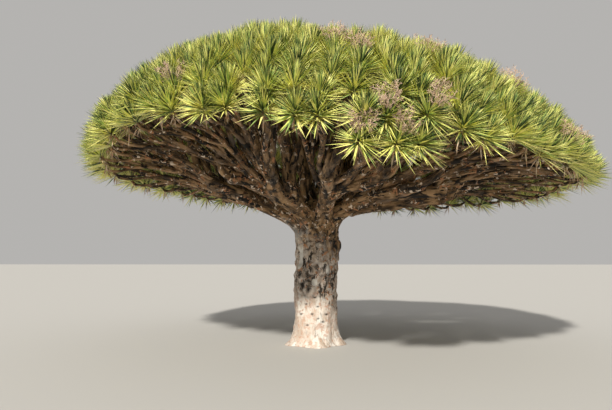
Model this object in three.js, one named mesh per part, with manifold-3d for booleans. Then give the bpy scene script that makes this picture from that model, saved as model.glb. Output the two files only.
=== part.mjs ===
// A dragon blood tree: a stout trunk whose head opens into boughs that fork in two again and again,
// all running outwards like the ribs of an umbrella to a dense, tilted dome of sword-leaved rosettes.
// Millimetres, +Z up. The origin is the middle of the flat cut under the trunk, at ground level,
// and the tree is seen from -Y in its usual view. Angles are in degrees.
import * as THREE from "three";
import { mergeVertices } from "three/addons/utils/BufferGeometryUtils.js";
import Module from "manifold-3d";

const wasm = await Module();
wasm.setup();

const SHORTEST_EDGE = 0.2; // in a solid, after its joins and cuts
const GAP = 0.3; // the clearance between neighbouring solids

// Trunk
const TRUNK_RADIUS = 385;
const TRUNK_BASE_RADIUS = 505; // at ground level, between the root lobes
const ROOT_LOBE = 75; // how far the root lobes stand out at ground level
const ROOT_LOBES = 5;
const LOBE_TURN = 0.6;
const FLARE_HEIGHT = 150; // over which the root flare dies away
const TRUNK_LEAN = 18; // sideways shift per metre of height
const NECK_HEIGHT = 1960; // where the trunk starts to widen into its head
const HEAD_HEIGHT = 2400; // where the head is widest
const HEAD_RADIUS = 500;
const TRUNK_TOP = 2620;
const HEAD_CLOSING = 0.55; // share by which the head narrows from its widest to its top
const TRUNK_SIDES = 16;
const TRUNK_RINGS = 12;
const RING_SPREAD = 1.4; // above 1, the rings lie closer together in the root flare
// Waves of the trunk's radius that wind round it: their size as a share of it, how many there are
// to a turn, and how far up they climb
const KNOBS = [
  { size: 0.03, count: 3, climb: 210 },
  { size: 0.025, count: 2, climb: -150 },
  { size: 0.02, count: 5, climb: -90 },
];

// The point that all boughs run out from, and the dome that the leaf tips reach
const FORK_POINT = new THREE.Vector3(40, 0, 2400);
const DOME_CENTRE = new THREE.Vector3(390, 0, 2960);
const DOME_RADIUS = 4640;
const DOME_HEIGHT = 2360;
const DOME_POWER = 1.875; // a little below 2, the power of a plain ellipsoid
const DOME_SWELLS = [0.018, 0.011]; // shares by which broad swellings vary the reach
const SWELL_COUNTS = [3, 7]; // how many of them there are to a turn
const SWELL_START = 40;
const REACH_STEP = 0.5; // how finely the reach is worked out
const TILT_RIGHT = 5.9; // the dome stands lower on the right...
const TILT_BACK = 4.1; // ...and lower at the back

// The dome's parts, by the angle from its axis as seen from the fork point
const CENTRE_EDGE = 31;
const MIDDLE_EDGE = 55;
const RIM_EDGE = 84.5;
const RIM_LIFT = 4; // the rim ends higher by this at one side...
const RIM_LIFT_AZIMUTH = 30;
// ...and hangs lower over a short stretch, and higher over a longer one
const RIM_BENDS = [
  { down: 4.8, azimuth: -79.5, width: 9 },
  { down: -4.2, azimuth: -118, width: 36 },
];
const RIM_DROOP = 3; // leaves may hang this far under the rim's edge
const SECTORS = 8;
const SECTOR_STRAY = 3;
const FIRST_AZIMUTH = -10;
const CENTRE_BOUGHS = 4;

// Wood: a limb that carries n twig tips has TIP_RADIUS * n ** PIPE_POWER as its radius
const TIP_RADIUS = 20;
const PIPE_POWER = 0.4;
const TIPS_IN_MASS = 64;
const TIPS_IN_CENTRE_MASS = 40;
const BOUGH_SHARE = 0.48; // share of the way to the dome where boughs end and masses start
const LOW_ANGLE = 81; // of the low boughs, which lie under their part of the dome
const LOW_ROOT = { offset: 60, height: 2090, lift: 70, stray: 40 }; // lift: higher on the right
const LOW_CARRIES = 3; // masses at its root: its own, the side bough's and the riser's
const LOW_CLIMB = { out: 470, up: 420 }; // the way it sets off from its root
const LOW_LEVEL = { offset: 1300, above: 120, share: 0.6 }; // where it has nearly turned level
const SIDE_JOINT = 3; // the step of the low bough that the side bough leaves from
const SIDE_HUMPS = [
  { share: 0.3, up: 30 },
  { share: 0.7, up: 20 },
];
const SIDE_SWELL = 1.1; // its radius at its root, as a share of that at its tip
const RISER_JOINT = 2;
const RISER_CLIMB = { out: 160, up: 220 };
const RISER_SWELL = 1.15;
const RISER_ANGLE = 47;
const CENTRE_ROOT = { offset: 120, height: 2200 };
const CENTRE_CLIMB = { offset: 330, height: 2550 };
const CENTRE_SWELL = 1.5;
const CENTRE_ANGLE = 19.2;
const STRAIGHT_FROM = 0.66; // a riser or a centre bough runs straight from this share of its way
const BOUGH_SIDES = 6;
const BOUGH_STEPS = 5;
const BOUGH_WANDER = 36; // how far a bough strays from its smooth line
const BOUGH_CLEARANCE = 1.2 * GAP; // what a bough's sides are cut clear of another's

// Foliage: rosettes at the twigs' ends, each a star of keeled leaves
const ROSETTE_DEPTH = 440; // of a rosette's middle under the dome
const ROSETTE_FILL = 0.7; // its leaves' length, as a share of its cell's size
const LEAF_SHORTEST = 420;
const LEAF_LONGEST = 680; // each leaf stands for a spray of 0.4 m ones
const LEAVES = 10;
const LEAF_LEAN = [26, 72]; // of the inner and the outer leaves, which take turns
const LEAF_STRAY = { lean: 6, turn: 0.25, length: 0.07 };
const LEAF_SHARES = [1, 0.8, 0.6]; // a leaf that would leave the space is cut short, or skipped
const LEAST_RISE = 12; // of a leaf's tip over the rosette's heart, or else it is skipped
const HOLLOW = 0.46; // how far out two leaves part, as a share of their length
const HOLLOW_SHARES = [1, 0.75, 0.5, 0.25];
const HOLLOW_LEAN = 60;
const STAR_TOP = 0.3;
const STAR_FOOT = 0.14;
const AXIS_LIFT = 14; // rosettes on the rim look up by this
const STEM_LENGTH = 180;
const STEM_TAPER = [0.96, 0.85]; // its radii, as shares of its bough's at the tip
const TWIG_TAPER = 0.85;
const TWIG_SINK = 0.1; // a twig starts this share of the way back inside the one before it
const TWIG_SHARES = [0.3, 0.62, 1]; // where twigs fork, as a share of the way to their cells
const FORK_SIZE = 900; // a twig forks a third time where its cell is larger than this
const TWIG_SIDES = 3;
const TWIG_WANDER = 0.12; // how far a fork strays, as a share of its cell
const SPACE_MARGIN = 16; // what a mass keeps clear along each side of its space

// Dried flower stalks, on every second mass
const PANICLE_EVERY = 2;
const PANICLE_LENGTH = 470;
const PANICLE_RADII = [18, 7];
const PANICLE_STAGGER = 36; // each stalk starts this much further out than the one before
const PANICLE_ARMS = 4;
const PANICLE_SPREAD = 24;

// Seeded numbers: the keys that tell the rule's uses of them apart, and the sine's own values
const SEEDS = {
  ...{ low: 0, side: 20, riser: 40, centre: 60, root: 21, edge: 31 },
  ...{ angle: 1, azimuth: 2, leafTurn: 6, leafLean: 7, leafLength: 8, panicle: 11 },
};
const SEED_STEP = 17.137;
const SEED_TURN = 12.9898;
const SEED_START = 78.233;
const SEED_SIZE = 43758.5453;
const AWRY = new THREE.Vector3(0.31, -0.87, 0.37); // the side of a limb where its rings start

// Finishes, with colours as linear shares of red, green and blue
const TRUNK_BARK = { color: new THREE.Color(0.52, 0.44, 0.37), roughness: 0.85, metalness: 0 };
const BOUGH_BARK = { color: new THREE.Color(0.26, 0.18, 0.12), roughness: 0.9, metalness: 0 };
const LEAF_COLOURS = [
  new THREE.Color(0.2, 0.3, 0.05),
  new THREE.Color(0.3, 0.38, 0.07),
  new THREE.Color(0.36, 0.4, 0.09),
];
const leavesOf = (color) => ({ color, roughness: 0.6, metalness: 0 });

const rad = THREE.MathUtils.degToRad;
const deg = THREE.MathUtils.radToDeg;
const lerp = THREE.MathUtils.lerp;

// The same number between 0 and 1 each time for the same key: the far digits of a sine
function seeded(...key) {
  const sum = key.reduce((total, k, i) => total + (k + 1) * (i + 1) * SEED_STEP, 0);
  const s = Math.sin(sum * SEED_TURN + SEED_START) * SEED_SIZE;
  return s - Math.floor(s);
}

// Between -1 and 1
const stray = (...key) => 2 * seeded(...key) - 1;

// The dome's tilt
const tilt = new THREE.Matrix4()
  .makeRotationX(-rad(TILT_BACK))
  .multiply(new THREE.Matrix4().makeRotationY(rad(TILT_RIGHT)));
const untilt = tilt.clone().invert();

// A direction by its angle from the vertical and its azimuth
function bearing(angle, azimuth) {
  const flat = Math.sin(rad(angle));
  return new THREE.Vector3(
    flat * Math.cos(rad(azimuth)),
    flat * Math.sin(rad(azimuth)),
    Math.cos(rad(angle)),
  );
}

// The same, in the dome's tilted frame
const heading = (angle, azimuth) => bearing(angle, azimuth).applyMatrix4(tilt);

// How far it is from the fork point to the leaf tips, that way
function reach(angle, azimuth) {
  const way = bearing(angle, azimuth);
  const from = FORK_POINT.clone().sub(DOME_CENTRE).applyMatrix4(untilt);
  let inside = 0;
  let outside = 2 * DOME_RADIUS;
  while (outside - inside > REACH_STEP) {
    const middle = (inside + outside) / 2;
    const p = from.clone().addScaledVector(way, middle);
    const flat = Math.hypot(p.x, p.y) / DOME_RADIUS;
    const fullness = flat ** DOME_POWER + Math.abs(p.z / DOME_HEIGHT) ** DOME_POWER;
    if (fullness < 1) inside = middle;
    else outside = middle;
  }
  const broad = Math.sin(rad(SWELL_COUNTS[0] * azimuth + SWELL_START)) * Math.sin(rad(2 * angle));
  const small = Math.sin(rad(SWELL_COUNTS[1] * azimuth + 3 * angle));
  return inside * (1 + DOME_SWELLS[0] * broad + DOME_SWELLS[1] * small);
}

// A point that way, at a depth under the leaf tips
function under(angle, azimuth, depth) {
  return heading(angle, azimuth)
    .multiplyScalar(reach(angle, azimuth) - depth)
    .add(FORK_POINT);
}

// The angle of the rim's lower edge
function rimEdge(azimuth) {
  const lift = RIM_LIFT * Math.cos(rad(azimuth - RIM_LIFT_AZIMUTH));
  return RIM_BENDS.reduce((edge, bend) => {
    const away = THREE.MathUtils.euclideanModulo(azimuth - bend.azimuth + 180, 360) - 180;
    return edge + bend.down * Math.exp(-((away / bend.width) ** 2));
  }, RIM_EDGE - lift);
}

function geometryOf(vertices, faces) {
  const positions = vertices.flatMap((v) => [v.x, v.y, v.z]);
  return new THREE.BufferGeometry()
    .setAttribute("position", new THREE.Float32BufferAttribute(positions, 3))
    .setIndex(faces.flat());
}

function solidOf(geometry) {
  const merged = mergeVertices(geometry, 1e-3);
  return new wasm.Manifold(
    new wasm.Mesh({
      numProp: 3,
      vertProperties: merged.attributes.position.array,
      triVerts: new Uint32Array(merged.index.array),
    }),
  );
}

// The faces between rings of vertices that turn left as they go up
function ringFaces(count, sides) {
  const faces = [];
  for (let r = 0; r + 1 < count; r++)
    for (let s = 0; s < sides; s++) {
      const a = r * sides + s;
      const b = r * sides + ((s + 1) % sides);
      faces.push([a, b, b + sides], [a, b + sides, a + sides]);
    }
  return faces;
}

// The flat end of a ring, whose first vertex has this number
function capFaces(first, sides, facesUp) {
  const faces = [];
  for (let s = 1; s + 1 < sides; s++)
    faces.push(facesUp ? [first, first + s, first + s + 1] : [first, first + s + 1, first + s]);
  return faces;
}

// Rings joined into a closed skin with flat ends
function skin(rings) {
  const sides = rings[0].length;
  const faces = [
    ...capFaces(0, sides, false),
    ...ringFaces(rings.length, sides),
    ...capFaces((rings.length - 1) * sides, sides, true),
  ];
  return solidOf(geometryOf(rings.flat(), faces));
}

// Two directions square to a way and to each other, the first one turned as little as can be from
// another direction
function across(way, from = AWRY) {
  const side = from.clone().addScaledVector(way, -from.dot(way)).normalize();
  return [side, way.clone().cross(side)];
}

// The same for each of the ways along a path, with no twist from one to the next
function acrossAll(ways) {
  const pairs = [across(ways[0])];
  for (const way of ways.slice(1)) pairs.push(across(way, pairs.at(-1)[0]));
  return pairs;
}

// The direction of a path at one of its points
function wayAt(points, i) {
  const before = points[Math.max(i - 1, 0)];
  const after = points[Math.min(i + 1, points.length - 1)];
  return after.clone().sub(before).normalize();
}

// A ring of vertices round a point
function ring(middle, [side, other], radius, sides) {
  return Array.from({ length: sides }, (_, s) => {
    const turn = (2 * Math.PI * s) / sides;
    return middle
      .clone()
      .addScaledVector(side, radius * Math.cos(turn))
      .addScaledVector(other, radius * Math.sin(turn));
  });
}

// A limb through points, with a radius at each. Its first end is cut square to firstWay
function limb(points, radii, sides, firstWay = wayAt(points, 0)) {
  const pairs = acrossAll(points.map((_, i) => (i === 0 ? firstWay : wayAt(points, i))));
  return skin(points.map((p, i) => ring(p, pairs[i], radii[i], sides)));
}

const radiusFor = (tips) => TIP_RADIUS * tips ** PIPE_POWER;

// The largest body of a join or cut, without the hair-thin edges that it left
function largest(solid) {
  const bodies = solid.decompose().sort((a, b) => b.volume() - a.volume());
  return bodies[0].simplify(SHORTEST_EDGE);
}

// Trunk

function trunkRadius(height, turn) {
  const flare = Math.exp(-height / FLARE_HEIGHT);
  const lobes = Math.cos((ROOT_LOBES * turn) / 2 + LOBE_TURN) ** 2;
  const knob = ({ size, count, climb }, i) => size * Math.sin(count * turn + height / climb + i);
  const knobs = KNOBS.map(knob).reduce((sum, size) => sum + size);
  const head = THREE.MathUtils.smoothstep(height, NECK_HEIGHT, HEAD_HEIGHT);
  const closing = Math.max(height - HEAD_HEIGHT, 0) / (TRUNK_TOP - HEAD_HEIGHT);
  const plain = lerp(TRUNK_RADIUS * (1 + knobs), HEAD_RADIUS, head);
  const foot = flare * (TRUNK_BASE_RADIUS - TRUNK_RADIUS + ROOT_LOBE * lobes);
  return plain * (1 - HEAD_CLOSING * closing ** 2) + foot;
}

const trunkAxis = (height) => (TRUNK_LEAN * height) / 1000;

// The trunk, or the same fatter all over by a clearance
function trunkSolid(clearance) {
  const rings = Array.from({ length: TRUNK_RINGS + 1 }, (_, r) => {
    const height = TRUNK_TOP * (r / TRUNK_RINGS) ** RING_SPREAD;
    return Array.from({ length: TRUNK_SIDES }, (_, s) => {
      const turn = (2 * Math.PI * s) / TRUNK_SIDES;
      const radius = trunkRadius(height, turn) + clearance;
      const x = trunkAxis(height) + radius * Math.cos(turn);
      const top = r === TRUNK_RINGS ? clearance : 0;
      return new THREE.Vector3(x, radius * Math.sin(turn), height + top);
    });
  });
  return skin(rings);
}

// Boughs

// A bough's line from where it is rooted to the tip that carries its mass, with its stray bends
function boughLine(id, from, leaving, arriving, tip) {
  const line = new THREE.CubicBezierCurve3(from, leaving, arriving, tip);
  return line.getPoints(BOUGH_STEPS).map((p, i) => {
    const loose = Math.sin((Math.PI * i) / BOUGH_STEPS) * BOUGH_WANDER;
    const bend = new THREE.Vector3(stray(id, i, 1), stray(id, i, 2), stray(id, i, 3));
    return p.addScaledVector(bend, loose);
  });
}

function taper(points, from, to) {
  return points.map((_, i) => lerp(from, to, i / (points.length - 1)));
}

// Where the bough under a cell ends: the ribs start out level, and take up the tilt further on
function tipOf(cell, angle) {
  const azimuth = (cell.z0 + cell.z1) / 2;
  const length = BOUGH_SHARE * reach(Math.min(angle, RIM_EDGE), azimuth);
  return bearing(angle, azimuth)
    .add(heading(angle, azimuth))
    .normalize()
    .multiplyScalar(length)
    .add(FORK_POINT);
}

// On the trunk's axis and off it to one side, at a height
function inTrunk(azimuth, height, offset) {
  const p = bearing(90, azimuth).multiplyScalar(offset);
  return p.add(new THREE.Vector3(trunkAxis(height), 0, height));
}

// Masses. A cell is a range of angle, a0 to a1, and of azimuth, z0 to z1, as seen from the fork
// point. Its mass keeps to the space over it

const middleOf = (cell) => [(cell.a0 + cell.a1) / 2, (cell.z0 + cell.z1) / 2];

// The side of a square as large as a cell, out among the rosettes
function cellSize(cell) {
  const [angle, azimuth] = middleOf(cell);
  const distance = reach(angle, azimuth) - ROSETTE_DEPTH;
  const area = rad(cell.a1 - cell.a0) * rad(cell.z1 - cell.z0) * Math.sin(rad(angle));
  return distance * Math.sqrt(area);
}

// The halves of a cell, cut across its longer side
function halves(cell) {
  const [angle, azimuth] = middleOf(cell);
  const length = cell.a1 - cell.a0;
  const width = (cell.z1 - cell.z0) * Math.sin(rad(angle));
  return length > width
    ? [{ ...cell, a1: angle }, { ...cell, a0: angle }]
    : [{ ...cell, z1: azimuth }, { ...cell, z0: azimuth }];
}

// Whether a point lies in the space over a cell, clear of its sides by a margin
function inSpace(point, cell, margin) {
  const p = point.clone().sub(FORK_POINT);
  const distance = p.length();
  p.applyMatrix4(untilt);
  const angle = deg(Math.acos(p.z / distance));
  const middle = (cell.z0 + cell.z1) / 2;
  const turned = THREE.MathUtils.euclideanModulo(deg(Math.atan2(p.y, p.x)) - middle + 180, 360);
  const fromSide = Math.min((cell.z1 - cell.z0) / 2 - Math.abs(turned - 180), 90);
  const highest = cell.a0 > 0 ? cell.a0 : -90;
  const lowest = cell.rim ? rimEdge(turned - 180 + middle) + RIM_DROOP : cell.a1;
  return (
    rad(angle - highest) * distance > margin &&
    rad(lowest - angle) * distance > margin &&
    Math.sin(rad(fromSide)) * Math.sin(rad(angle)) * distance > margin
  );
}

// Twigs fork in two, one for each half of the cell: the first goes on from the twig before it, and
// the second starts inside that. A fork lies at a share of the way from the mass's stem to the
// middle of its cell
function growTwigs(mass, cell, order, before, ends) {
  const [back, fork] = before.points.slice(-2);
  halves(cell).forEach((half, side) => {
    const key = [mass.id, order, ends.length, side];
    const last =
      order + 1 === TWIG_SHARES.length ||
      (order + 2 === TWIG_SHARES.length && cellSize(half) < FORK_SIZE);
    const share = last ? 1 : TWIG_SHARES[order];
    const loose = last ? 0 : TWIG_WANDER;
    const [middleAngle, middleAzimuth] = middleOf(half);
    const angle = middleAngle + loose * stray(...key, SEEDS.angle) * (half.a1 - half.a0);
    const azimuth = middleAzimuth + loose * stray(...key, SEEDS.azimuth) * (half.z1 - half.z0);
    const radius = radiusFor(mass.tips / 2 ** (order + 1));
    const root = fork.clone().lerp(back, TWIG_SINK * (1 + side));
    const twig = side === 0 && order > 0 ? before : { points: [root], radii: [radius] };
    const to = mass.stemEnd.clone().lerp(under(angle, azimuth, ROSETTE_DEPTH), share);
    twig.points.push(to);
    twig.radii.push(TWIG_TAPER * radius);
    if (last) ends.push({ twig, angle, azimuth, cell: half, key, at: to });
    else growTwigs(mass, half, order + 1, twig, ends);
  });
}

// The way a leaf leans from an axis, by its turn round that from one side of it to the other
function leaning(axis, [side, other], lean, turn) {
  return axis
    .clone()
    .multiplyScalar(Math.cos(rad(lean)))
    .addScaledVector(side, Math.sin(rad(lean)) * Math.cos(rad(turn)))
    .addScaledVector(other, Math.sin(rad(lean)) * Math.sin(rad(turn)));
}

// The first of some points on a way that lies in the space of a mass
function furthest(mass, from, way, length, shares) {
  const points = shares.map((share) => from.clone().addScaledVector(way, share * length));
  return points.find((p) => inSpace(p, mass.cell, SPACE_MARGIN));
}

// Where two leaves of a rosette part, from between its last leaf and its first
function hollows(mass, end, axis, sides, length) {
  return Array.from({ length: LEAVES }, (_, n) => {
    const way = leaning(axis, sides, HOLLOW_LEAN, (360 / LEAVES) * (n - 0.5));
    const nearest = end.at.clone().addScaledVector(way, HOLLOW_SHARES.at(-1) * HOLLOW * length);
    return furthest(mass, end.at, way, HOLLOW * length, HOLLOW_SHARES) ?? nearest;
  });
}

// The tip of one leaf, or nothing where it would leave the space
function leafTip(mass, end, axis, sides, length, n) {
  const { key, at } = end;
  const lean = LEAF_LEAN[n % 2] + LEAF_STRAY.lean * stray(...key, n, SEEDS.leafLean);
  const turn = (360 / LEAVES) * (n + LEAF_STRAY.turn * stray(...key, n, SEEDS.leafTurn));
  const upright = ROSETTE_DEPTH / Math.cos(rad(lean));
  const shorter = 1 - LEAF_STRAY.length * seeded(...key, n, SEEDS.leafLength);
  const own = Math.min(length, upright) * shorter;
  return furthest(mass, at, leaning(axis, sides, lean, turn), own, LEAF_SHARES);
}

// How far a point stands out of the flat face through three others that turn left
function riseOver(a, b, c, point) {
  const square = b.clone().sub(a).cross(c.clone().sub(a)).normalize();
  return point.clone().sub(a).dot(square);
}

// A twig and the rosette at its end in one skin: a heart, out of each of whose sides a leaf stands
function leafyTwig(mass, end) {
  const { twig, angle, azimuth, cell, at } = end;
  const axis = heading(angle - (mass.cell.rim ? AXIS_LIFT : 0), azimuth);
  const length = THREE.MathUtils.clamp(ROSETTE_FILL * cellSize(cell), LEAF_SHORTEST, LEAF_LONGEST);
  const points = [...twig.points.slice(0, -1), at.clone().addScaledVector(axis, -STAR_FOOT * length)];
  const pairs = acrossAll(points.map((_, i) => (i + 1 === points.length ? axis : wayAt(points, i))));
  const rings = points.map((p, i) => ring(p, pairs[i], twig.radii[i], TWIG_SIDES));
  const sides = pairs.at(-1);
  const rim = hollows(mass, end, axis, sides, length);
  const peak = at.clone().addScaledVector(axis, STAR_TOP * length);
  const vertices = [...rings.flat(), ...rim, peak];
  const faces = [...capFaces(0, TWIG_SIDES, false), ...ringFaces(rings.length, TWIG_SIDES)];
  const foot = (rings.length - 1) * TWIG_SIDES;
  const first = foot + TWIG_SIDES;
  const top = first + LEAVES;
  const footOf = (k) => foot + (Math.round((TWIG_SIDES * (k - 0.5)) / LEAVES) % TWIG_SIDES);
  rim.forEach((_, n) => {
    const [here, next] = [first + n, first + ((n + 1) % LEAVES)];
    const [under, nextUnder] = [footOf(n), footOf(n + 1)];
    faces.push([next, here, under]);
    if (nextUnder !== under) faces.push([next, under, nextUnder]);
    const tip = leafTip(mass, end, axis, sides, length, n);
    if (tip && riseOver(vertices[here], vertices[next], peak, tip) > LEAST_RISE) {
      const last = vertices.push(tip) - 1;
      faces.push([here, last, top], [last, next, top], [last, here, next]);
    } else faces.push([here, next, top]);
  });
  return solidOf(geometryOf(vertices, faces));
}

// A dried flower stalk among the leaves of a rosette, which forks from its foot
function panicle(end) {
  const { angle, azimuth, key, at } = end;
  const axis = heading(angle, azimuth);
  return Array.from({ length: PANICLE_ARMS }, (_, n) => {
    const turn = 360 * (n / PANICLE_ARMS + seeded(...key, SEEDS.panicle));
    const way = leaning(axis, across(axis), PANICLE_SPREAD, turn);
    const foot = at.clone().addScaledVector(way, PANICLE_STAGGER * n);
    const tip = at.clone().addScaledVector(way, PANICLE_LENGTH);
    return limb([foot, tip], PANICLE_RADII, TWIG_SIDES);
  });
}

// One mass: a stem that starts clear of its bough's tip, twigs and rosettes, fused in one
function massSolid(mass) {
  const stem = {
    points: [mass.stemStart, mass.stemEnd],
    radii: STEM_TAPER.map((share) => share * radiusFor(mass.tips)),
  };
  const ends = [];
  growTwigs(mass, mass.cell, 0, stem, ends);
  const solids = ends.map((end) => leafyTwig(mass, end));
  solids.push(limb(stem.points, stem.radii, BOUGH_SIDES, mass.way));
  if (mass.id % PANICLE_EVERY === 0) solids.push(...panicle(ends[1]));
  return largest(wasm.Manifold.union(solids));
}

// Assembly

const tree = new THREE.Group();

function addNode(name, solid, finish) {
  const { vertProperties, triVerts } = solid.getMesh();
  const geometry = new THREE.BufferGeometry()
    .setAttribute("position", new THREE.BufferAttribute(vertProperties, 3))
    .setIndex(new THREE.BufferAttribute(triVerts, 1));
  geometry.computeVertexNormals();
  const mesh = new THREE.Mesh(geometry, new THREE.MeshStandardMaterial(finish));
  mesh.name = name;
  tree.add(mesh);
}

// Each bough is cut clear of the trunk's head and of the boughs before it
let taken = trunkSolid(GAP);
const masses = [];

function addBough(name, points, swell, cell, tips) {
  const radii = taper(points, swell * radiusFor(tips), radiusFor(tips));
  addNode("bough_" + name, largest(limb(points, radii, BOUGH_SIDES).subtract(taken)), BOUGH_BARK);
  const fatter = radii.map((r) => r + BOUGH_CLEARANCE);
  taken = taken.add(limb(points, fatter, BOUGH_SIDES));
  const way = wayAt(points, points.length - 1);
  const stemStart = points.at(-1).clone().addScaledVector(way, GAP);
  const stemEnd = stemStart.clone().addScaledVector(way, STEM_LENGTH);
  masses.push({ name, id: masses.length, cell, tips, way, stemStart, stemEnd });
}

function sectorEdge(n) {
  return FIRST_AZIMUTH + (n * 360) / SECTORS + SECTOR_STRAY * stray(n % SECTORS, SEEDS.edge);
}

// A bough to each half of the sector's rim: a low one off the trunk, and a side one off that
function addLowBoughs(n, middle) {
  const cell = (from, to) => {
    return { a0: MIDDLE_EDGE, a1: rimEdge((from + to) / 2), z0: from, z1: to, rim: true };
  };
  const lowCell = cell(sectorEdge(n), middle);
  const lowTip = tipOf(lowCell, LOW_ANGLE);
  const lift = LOW_ROOT.lift * Math.cos(rad(middle)) + LOW_ROOT.stray * stray(n, SEEDS.root);
  const root = inTrunk(middle, LOW_ROOT.height + lift, LOW_ROOT.offset);
  const climb = inTrunk(middle, root.z + LOW_CLIMB.up, LOW_CLIMB.out);
  const level = inTrunk(middle, 0, LOW_LEVEL.offset);
  level.z = lerp(FORK_POINT.z + LOW_LEVEL.above, lowTip.z, LOW_LEVEL.share);
  const low = boughLine(SEEDS.low + n, root, climb, level, lowTip);
  addBough("low_" + (n + 1), low, LOW_CARRIES ** PIPE_POWER, lowCell, TIPS_IN_MASS);

  const sideCell = cell(middle, sectorEdge(n + 1));
  const joint = low[SIDE_JOINT];
  const sideTip = tipOf(sideCell, LOW_ANGLE);
  const humps = SIDE_HUMPS.map(({ share, up }) => {
    return joint.clone().lerp(sideTip, share).add(new THREE.Vector3(0, 0, up));
  });
  const side = boughLine(SEEDS.side + n, joint.clone(), ...humps, sideTip);
  addBough("side_" + (n + 1), side, SIDE_SWELL, sideCell, TIPS_IN_MASS);
  return low;
}

// A bough off the low one, to the part of the dome inside the rim
function addRiser(n, middle, low) {
  const cell = { a0: CENTRE_EDGE, a1: MIDDLE_EDGE, z0: sectorEdge(n), z1: sectorEdge(n + 1) };
  const joint = low[RISER_JOINT];
  const tip = tipOf(cell, RISER_ANGLE);
  const climb = joint.clone().addScaledVector(bearing(90, middle), RISER_CLIMB.out);
  climb.z += RISER_CLIMB.up;
  const straight = joint.clone().lerp(tip, STRAIGHT_FROM);
  const line = boughLine(SEEDS.riser + n, joint.clone(), climb, straight, tip);
  addBough("riser_" + (n + 1), line, RISER_SWELL, cell, TIPS_IN_MASS);
}

// One of the steep boughs in the middle
function addCentreBough(n) {
  const width = 360 / CENTRE_BOUGHS;
  const start = FIRST_AZIMUTH + n * width;
  const middle = start + width / 2;
  const cell = { a0: 0, a1: CENTRE_EDGE, z0: start, z1: start + width };
  const tip = tipOf(cell, CENTRE_ANGLE);
  const root = inTrunk(middle, CENTRE_ROOT.height, CENTRE_ROOT.offset);
  const climb = inTrunk(middle, CENTRE_CLIMB.height, CENTRE_CLIMB.offset);
  const straight = root.clone().lerp(tip, STRAIGHT_FROM);
  const line = boughLine(SEEDS.centre + n, root, climb, straight, tip);
  addBough("centre_" + (n + 1), line, CENTRE_SWELL, cell, TIPS_IN_CENTRE_MASS);
}

addNode("trunk", trunkSolid(0), TRUNK_BARK);
for (let n = 0; n < SECTORS; n++) {
  const middle = (sectorEdge(n) + sectorEdge(n + 1)) / 2;
  addRiser(n, middle, addLowBoughs(n, middle));
}
for (let n = 0; n < CENTRE_BOUGHS; n++) addCentreBough(n);
masses.forEach((mass, n) => {
  const colour = LEAF_COLOURS[n % LEAF_COLOURS.length];
  addNode("foliage_" + mass.name, massSolid(mass), leavesOf(colour));
});

export default tree;
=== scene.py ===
"""The looks of a dragon blood tree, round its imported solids: bark, finer twigs, leaves and flower stalks."""

import math
from collections import namedtuple
from dataclasses import dataclass

import bpy
import numpy as np
from mathutils import Matrix, Vector, noise
from mathutils.kdtree import KDTree


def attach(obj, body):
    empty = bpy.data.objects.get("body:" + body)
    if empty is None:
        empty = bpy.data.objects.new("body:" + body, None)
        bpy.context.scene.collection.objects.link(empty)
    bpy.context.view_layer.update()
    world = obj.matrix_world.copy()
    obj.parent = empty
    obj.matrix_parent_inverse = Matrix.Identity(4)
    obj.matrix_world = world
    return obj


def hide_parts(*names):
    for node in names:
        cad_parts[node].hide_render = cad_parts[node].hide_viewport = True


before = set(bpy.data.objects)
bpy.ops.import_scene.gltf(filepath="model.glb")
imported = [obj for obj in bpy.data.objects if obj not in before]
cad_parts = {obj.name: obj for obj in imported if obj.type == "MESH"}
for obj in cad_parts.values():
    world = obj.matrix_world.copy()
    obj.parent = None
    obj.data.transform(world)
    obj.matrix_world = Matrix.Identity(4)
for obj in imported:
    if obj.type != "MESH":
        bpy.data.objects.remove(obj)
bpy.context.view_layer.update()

# The tree's own sizes, in metres, and its rule's values. They are those of the solids
TRUNK_RADIUS = 0.385
TRUNK_BASE_RADIUS = 0.505
ROOT_LOBE = 0.075
ROOT_LOBES = 5
LOBE_TURN = 0.6
FLARE_HEIGHT = 0.15
TRUNK_LEAN = 0.018
NECK_HEIGHT = 1.96
HEAD_HEIGHT = 2.4
HEAD_RADIUS = 0.5
TRUNK_TOP = 2.62
HEAD_CLOSING = 0.55
KNOBS = [(0.03, 3, 0.21), (0.025, 2, -0.15), (0.02, 5, -0.09)]

FORK_POINT = Vector((0.04, 0, 2.4))
DOME_CENTRE = Vector((0.39, 0, 2.96))
DOME_RADIUS = 4.64
DOME_HEIGHT = 2.36
DOME_POWER = 1.875
DOME_SWELLS = (0.018, 0.011)
SWELL_COUNTS = (3, 7)
SWELL_START = 40
REACH_STEP = 0.0005
TILT_RIGHT = 5.9
TILT_BACK = 4.1

CENTRE_EDGE = 31
MIDDLE_EDGE = 55
RIM_EDGE = 84.5
RIM_LIFT = 4
RIM_LIFT_AZIMUTH = 30
RIM_BENDS = ((4.8, -79.5, 9), (-4.2, -118, 36))  # how far down, at which azimuth, and how wide
SECTORS = 8
SECTOR_STRAY = 3
FIRST_AZIMUTH = -10
CENTRE_BOUGHS = 4

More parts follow.
